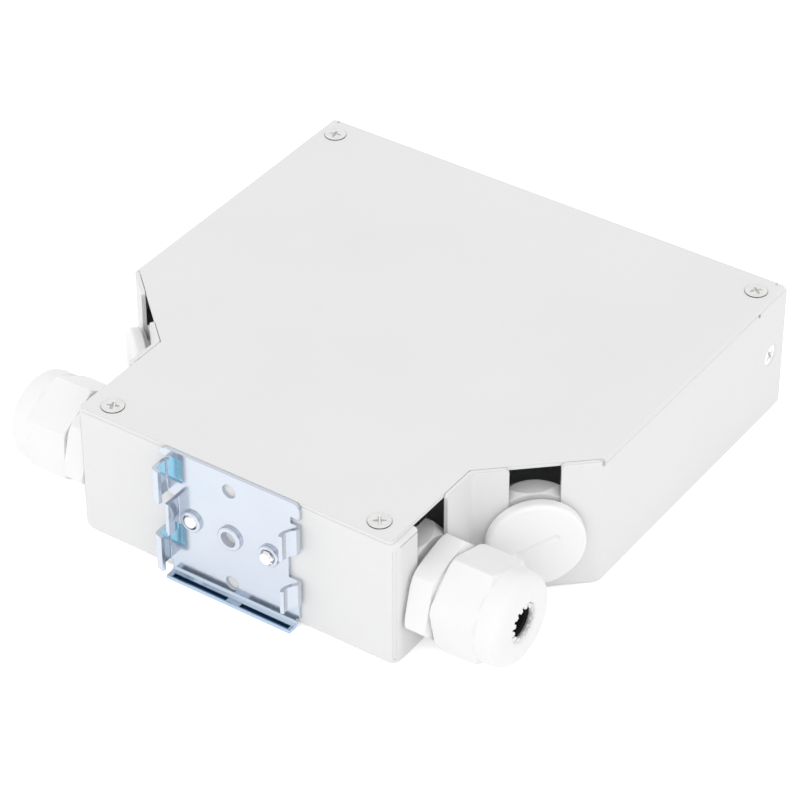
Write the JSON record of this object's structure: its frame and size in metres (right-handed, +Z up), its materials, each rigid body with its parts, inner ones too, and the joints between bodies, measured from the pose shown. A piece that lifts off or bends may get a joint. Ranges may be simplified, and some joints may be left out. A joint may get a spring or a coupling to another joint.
{
  "type": "din rail fibre box",
  "caption": "Flat folded-sheet fibre distribution box with slanted front shoulders, a screwed lid, cable glands, blind plugs, an adapter panel and a clip for a top hat rail.",
  "frame": {"origin": "centre of the bounding box in plan, on the underside of the case", "axes": "+Z up out of the lid with the case lying on its floor, +Y from the narrow rail clip end to the wide adapter end, +X across the width towards the side with the curled hooks"},
  "size_m": [0.1352, 0.1496, 0.0353],
  "materials": {
    "case_paint": "light grey powder coat, fine texture, satin",
    "blue_zinc": "bright zinc plating with a pale blue passivation",
    "screw_steel": "bright zinc plated steel",
    "gland_plastic": "white moulded polyamide, satin",
    "plug_plastic": "white moulded polyamide, satin",
    "seal_rubber": "grey flat seal",
    "insert_rubber": "black sealing sleeve",
    "adapter_plastic": "blue moulded plastic",
    "cap_plastic": "white moulded dust caps",
    "tray_plastic": "light grey moulded plastic",
    "comb_plastic": "dark soft plastic",
    "cover_plastic": "clear sheet plastic"
  },
  "bodies": {
    "case": {"base_tray": "case_paint", "adapter_panel": "case_paint", "din_clip": "blue_zinc", "side_screw_left": "screw_steel", "side_screw_right": "screw_steel", "clip_screw_left": "screw_steel", "clip_screw_right": "screw_steel", "gland_body_left": "gland_plastic", "gland_body_right": "gland_plastic", "gland_locknut_left": "gland_plastic", "gland_locknut_right": "gland_plastic", "plug_left": "plug_plastic", "plug_right": "plug_plastic", "plug_locknut_left": "plug_plastic", "plug_locknut_right": "plug_plastic", "gland_seal_left": "seal_rubber", "gland_seal_right": "seal_rubber", "plug_seal_left": "seal_rubber", "plug_seal_right": "seal_rubber", "gland_insert_left": "insert_rubber", "gland_insert_right": "insert_rubber", "adapter_1": "adapter_plastic", "adapter_2": "adapter_plastic", "adapter_3": "adapter_plastic", "adapter_4": "adapter_plastic", "adapter_5": "adapter_plastic", "adapter_6": "adapter_plastic", "dust_cap_1": "cap_plastic", "dust_cap_2": "cap_plastic", "dust_cap_3": "cap_plastic", "dust_cap_4": "cap_plastic", "dust_cap_5": "cap_plastic", "dust_cap_6": "cap_plastic", "splice_tray": "tray_plastic", "splice_comb": "comb_plastic", "tray_cover": "cover_plastic", "standoff_front": "screw_steel", "standoff_back": "screw_steel", "tray_screw_front": "screw_steel", "tray_screw_back": "screw_steel"},
    "lid": {"lid": "case_paint", "lid_screw_front_left": "screw_steel", "lid_screw_front_right": "screw_steel", "lid_screw_back_left": "screw_steel", "lid_screw_back_right": "screw_steel"},
    "gland_cap_left": {"gland_cap_left": "gland_plastic"},
    "gland_cap_right": {"gland_cap_right": "gland_plastic"}
  },
  "joints": [
    {"name": "lid_lift", "type": "slide", "parent": "case", "child": "lid", "axis": [0, 0, 1], "range_m": [0, 0.05]},
    {"name": "gland_cap_left_turn", "type": "hinge", "parent": "case", "child": "gland_cap_left", "pos_m": [-0.05595, -0.0545, 0.0146], "axis": [1, 0, 0], "continuous": true},
    {"name": "gland_cap_right_turn", "type": "hinge", "parent": "case", "child": "gland_cap_right", "pos_m": [0.05595, -0.0545, 0.0146], "axis": [1, 0, 0], "continuous": true}
  ]
}
